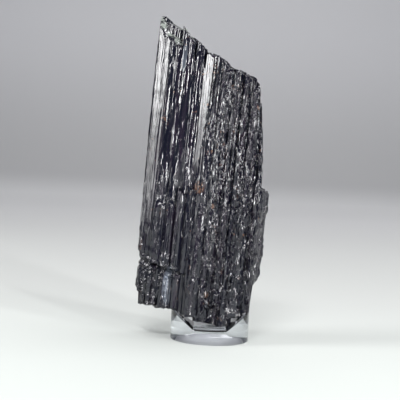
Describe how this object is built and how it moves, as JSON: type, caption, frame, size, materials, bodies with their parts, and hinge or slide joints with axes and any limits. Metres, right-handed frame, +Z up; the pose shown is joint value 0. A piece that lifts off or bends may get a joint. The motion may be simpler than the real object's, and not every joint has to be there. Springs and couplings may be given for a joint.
{
  "type": "black tourmaline crystal on a clear stand",
  "caption": "Upright black tourmaline specimen: parallel striated prisms grown together, broken at both ends, standing in the channel of a small clear round stand.",
  "frame": {"origin": "centre of the stand's underside, on the surface that it stands on", "axes": "+Z up along the crystal, +X to the right of the broad striated face, which looks towards -Y"},
  "size_m": [0.0418, 0.025, 0.1015],
  "materials": {
    "tourmaline": "glassy black, finely striated along its length, crusty on the right",
    "acrylic": "polished clear acrylic"
  },
  "bodies": {
    "root": {"tourmaline_crystal": "tourmaline", "acrylic_stand": "acrylic"}
  },
  "joints": []
}
